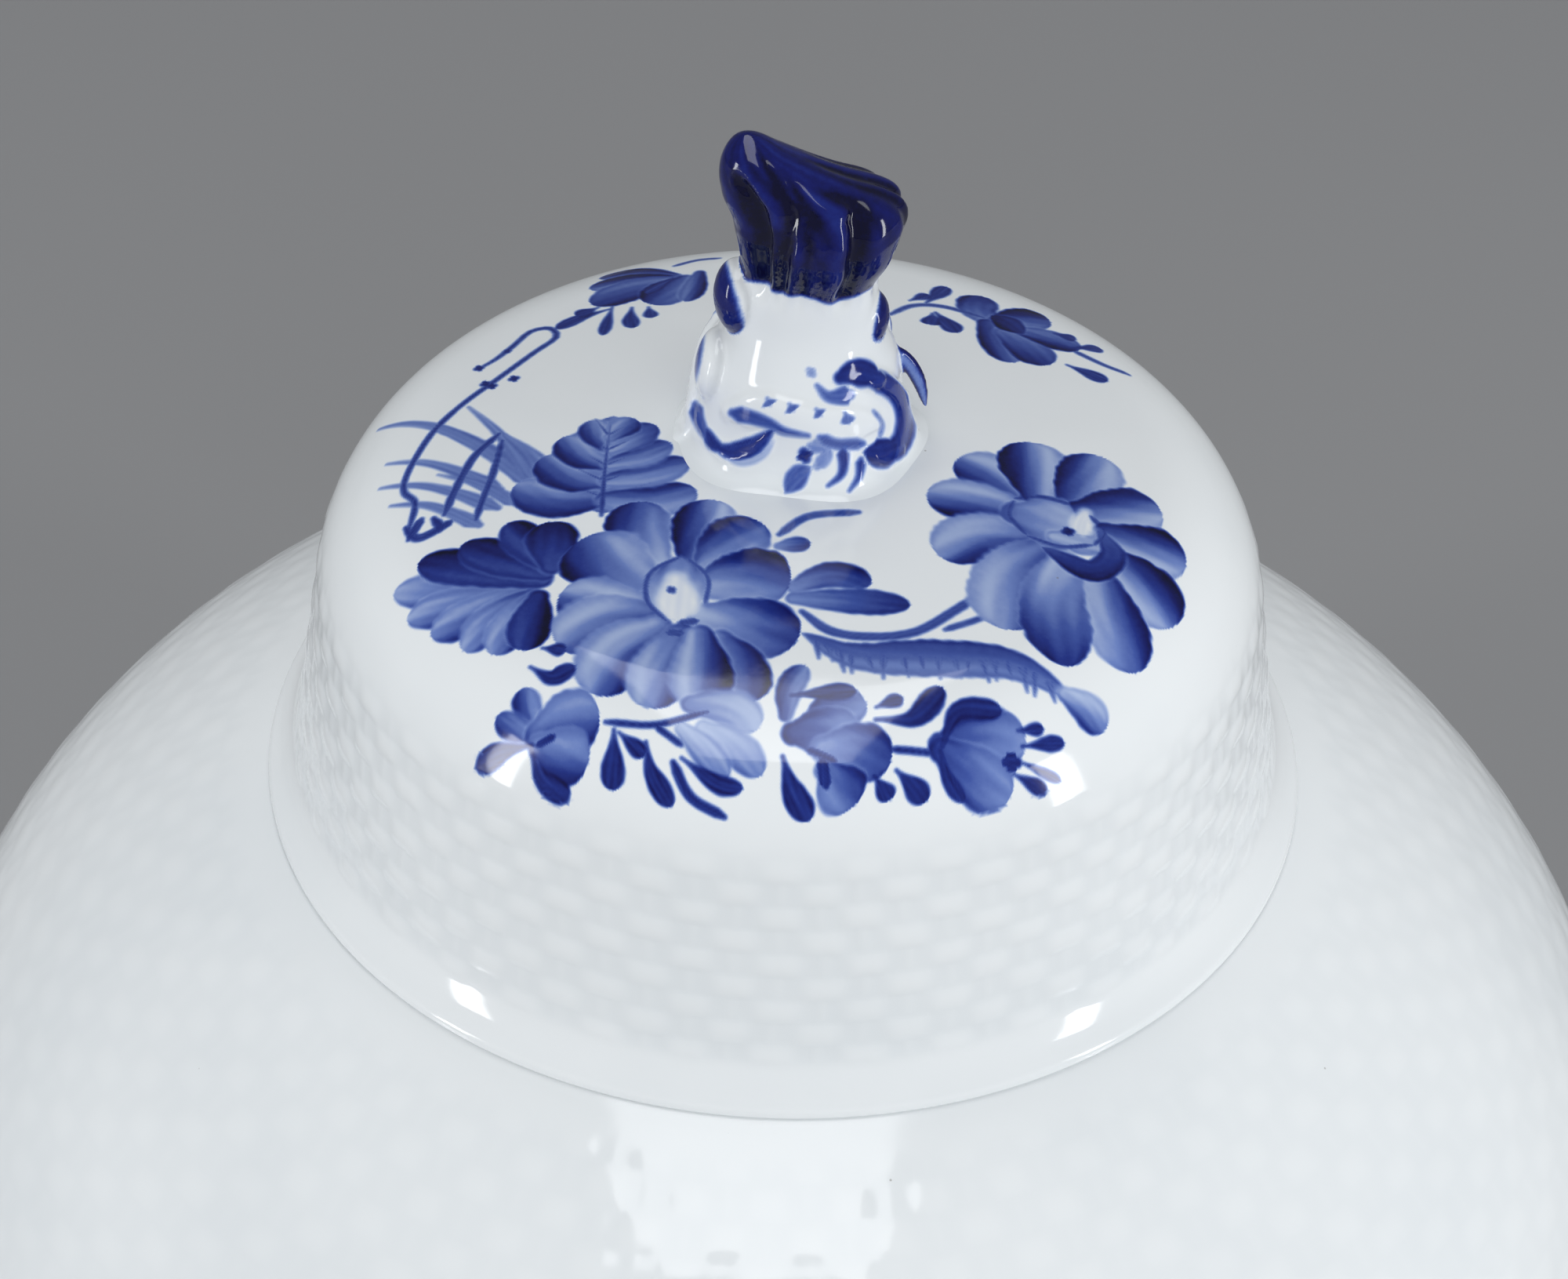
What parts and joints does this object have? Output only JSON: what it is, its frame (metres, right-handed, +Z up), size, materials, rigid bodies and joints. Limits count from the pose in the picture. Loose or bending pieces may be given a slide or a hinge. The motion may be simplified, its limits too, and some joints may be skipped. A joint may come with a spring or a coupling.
{
  "type": "lidded rice bowl",
  "caption": "Globular porcelain serving bowl on a foot ring, with a tall cap lid, a moulded basket-weave surface, blue painted flowers and a fluted bud knob.",
  "frame": {"origin": "centre of the foot ring's resting face", "axes": "+Z up along the bowl's axis, which is also the way the lid lifts off; -Y towards the viewer, who sees the larger painted spray at the front and left"},
  "size_m": [0.2436, 0.2436, 0.2464],
  "materials": {
    "white_glaze": "glossy clear glaze over white porcelain",
    "cobalt_glaze": "glossy clear glaze over cobalt blue painting"
  },
  "bodies": {
    "bowl": {"bowl": "white_glaze"},
    "lid": {"lid": "white_glaze", "knob": "cobalt_glaze"}
  },
  "joints": [
    {"name": "lid_lift", "type": "slide", "parent": "bowl", "child": "lid", "axis": [0, 0, 1], "range_m": [0, 0.12]}
  ]
}
